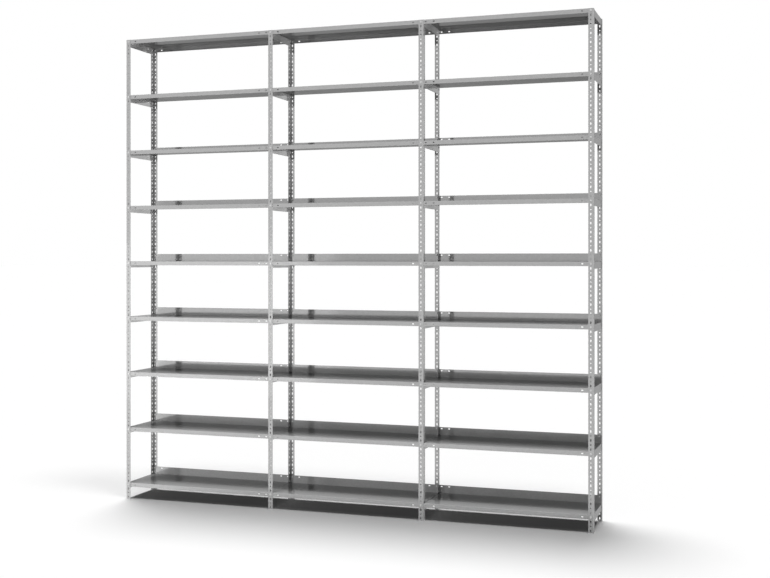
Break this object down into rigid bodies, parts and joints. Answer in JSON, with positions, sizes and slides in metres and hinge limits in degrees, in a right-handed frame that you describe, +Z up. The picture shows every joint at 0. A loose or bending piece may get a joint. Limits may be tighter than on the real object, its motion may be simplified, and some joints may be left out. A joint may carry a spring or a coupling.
{
  "type": "archive shelving unit",
  "caption": "Open archive shelving row: folded steel shelf trays with lips and rear upstands, bolted to perforated angle uprights, for files and boxes.",
  "frame": {"origin": "on the floor, under the middle of the row's length and depth", "axes": "+X along the row to the right as seen from the front, +Y to the rear, +Z up"},
  "size_m": [2.9798, 0.308, 2.9],
  "materials": {
    "upright_steel": "bright galvanised, satin",
    "shelf_steel": "bright galvanised, smooth and mirror-like at low angles"
  },
  "bodies": {
    "root": {"upright_front_1": "upright_steel", "upright_front_2": "upright_steel", "upright_front_3": "upright_steel", "upright_front_4": "upright_steel", "upright_rear_1": "upright_steel", "upright_rear_2": "upright_steel", "upright_rear_3": "upright_steel", "upright_rear_4": "upright_steel", "shelf_bay1_level1": "shelf_steel", "shelf_bay1_level2": "shelf_steel", "shelf_bay1_level3": "shelf_steel", "shelf_bay1_level4": "shelf_steel", "shelf_bay1_level5": "shelf_steel", "shelf_bay1_level6": "shelf_steel", "shelf_bay1_level7": "shelf_steel", "shelf_bay1_level8": "shelf_steel", "shelf_bay1_level9": "shelf_steel", "shelf_bay2_level1": "shelf_steel", "shelf_bay2_level2": "shelf_steel", "shelf_bay2_level3": "shelf_steel", "shelf_bay2_level4": "shelf_steel", "shelf_bay2_level5": "shelf_steel", "shelf_bay2_level6": "shelf_steel", "shelf_bay2_level7": "shelf_steel", "shelf_bay2_level8": "shelf_steel", "shelf_bay2_level9": "shelf_steel", "shelf_bay3_level1": "shelf_steel", "shelf_bay3_level2": "shelf_steel", "shelf_bay3_level3": "shelf_steel", "shelf_bay3_level4": "shelf_steel", "shelf_bay3_level5": "shelf_steel", "shelf_bay3_level6": "shelf_steel", "shelf_bay3_level7": "shelf_steel", "shelf_bay3_level8": "shelf_steel", "shelf_bay3_level9": "shelf_steel"}
  },
  "joints": []
}
